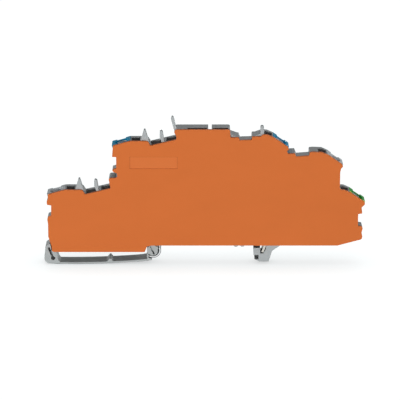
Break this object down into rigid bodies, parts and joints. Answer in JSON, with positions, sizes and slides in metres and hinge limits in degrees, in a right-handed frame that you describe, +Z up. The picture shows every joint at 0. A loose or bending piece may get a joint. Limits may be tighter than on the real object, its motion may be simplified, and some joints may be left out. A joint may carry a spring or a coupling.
{
  "type": "multilevel rail terminal block",
  "caption": "Slim stepped terminal block for a 35 mm top-hat rail, with spring clamps, current bars, coloured wire entries, a release foot and a pull-off end plate.",
  "frame": {"origin": "middle of the mounting rail: X = 0 at the rail's centre line, Z = 0 at the top of its flanges, Y = 0 in the middle of the housing's thickness", "axes": "+X along the block towards the earth end, -Y out of the end plate, +Z up from the rail"},
  "size_m": [0.1105, 0.0062, 0.0536],
  "materials": {
    "housing_grey": "fine moulded texture",
    "guide_grey": "fine moulded texture",
    "plate_orange": "fine moulded texture",
    "neutral_blue": "fine moulded texture",
    "earth_green": "fine moulded texture",
    "earth_yellow": "fine moulded texture",
    "tinned_copper": "tin plated",
    "spring_steel": "bright rolled strip"
  },
  "bodies": {
    "terminal_block": {"housing": "housing_grey", "left_low_guide": "guide_grey", "left_mid_guide": "neutral_blue", "right_top_guide": "neutral_blue", "right_mid_guide": "guide_grey", "right_low_guide": "earth_green", "earth_stripe": "earth_yellow", "line_bar": "tinned_copper", "neutral_bar": "tinned_copper", "earth_bar": "tinned_copper", "left_low_spring": "spring_steel", "left_mid_spring": "spring_steel", "right_top_spring": "spring_steel", "right_mid_spring": "spring_steel", "right_low_spring": "spring_steel"},
    "end_plate": {"end_plate": "plate_orange"},
    "rail_latch": {"rail_latch": "housing_grey", "latch_clip": "spring_steel"},
    "left_low_tongue": {"left_low_tongue": "spring_steel"},
    "left_mid_tongue": {"left_mid_tongue": "spring_steel"},
    "right_top_tongue": {"right_top_tongue": "spring_steel"},
    "right_mid_tongue": {"right_mid_tongue": "spring_steel"},
    "right_low_tongue": {"right_low_tongue": "spring_steel"}
  },
  "joints": [
    {"name": "plate_pull", "type": "slide", "parent": "terminal_block", "child": "end_plate", "axis": [0, -1, 0], "range_m": [0, 0.01]},
    {"name": "latch_release", "type": "slide", "parent": "terminal_block", "child": "rail_latch", "axis": [-1, 0, 0], "range_m": [0, 0.002], "stiffness_N_per_m": 2500},
    {"name": "left_low_clamp", "type": "hinge", "parent": "terminal_block", "child": "left_low_tongue", "pos_m": [-0.04713, -0.0004, 0.01207], "axis": [0, -1, 0], "range_deg": [0, 25], "stiffness_Nm_per_rad": 0.05},
    {"name": "left_mid_clamp", "type": "hinge", "parent": "terminal_block", "child": "left_mid_tongue", "pos_m": [-0.02463, -0.0004, 0.02957], "axis": [0, -1, 0], "range_deg": [0, 25], "stiffness_Nm_per_rad": 0.05},
    {"name": "right_top_clamp", "type": "hinge", "parent": "terminal_block", "child": "right_top_tongue", "pos_m": [0.01685, -0.0004, 0.03208], "axis": [0, 1, 0], "range_deg": [0, 25], "stiffness_Nm_per_rad": 0.05},
    {"name": "right_mid_clamp", "type": "hinge", "parent": "terminal_block", "child": "right_mid_tongue", "pos_m": [0.03535, -0.0004, 0.02588], "axis": [0, 1, 0], "range_deg": [0, 25], "stiffness_Nm_per_rad": 0.05},
    {"name": "right_low_clamp", "type": "hinge", "parent": "terminal_block", "child": "right_low_tongue", "pos_m": [0.04325, -0.0004, 0.01233], "axis": [0, 1, 0], "range_deg": [0, 25], "stiffness_Nm_per_rad": 0.05}
  ]
}
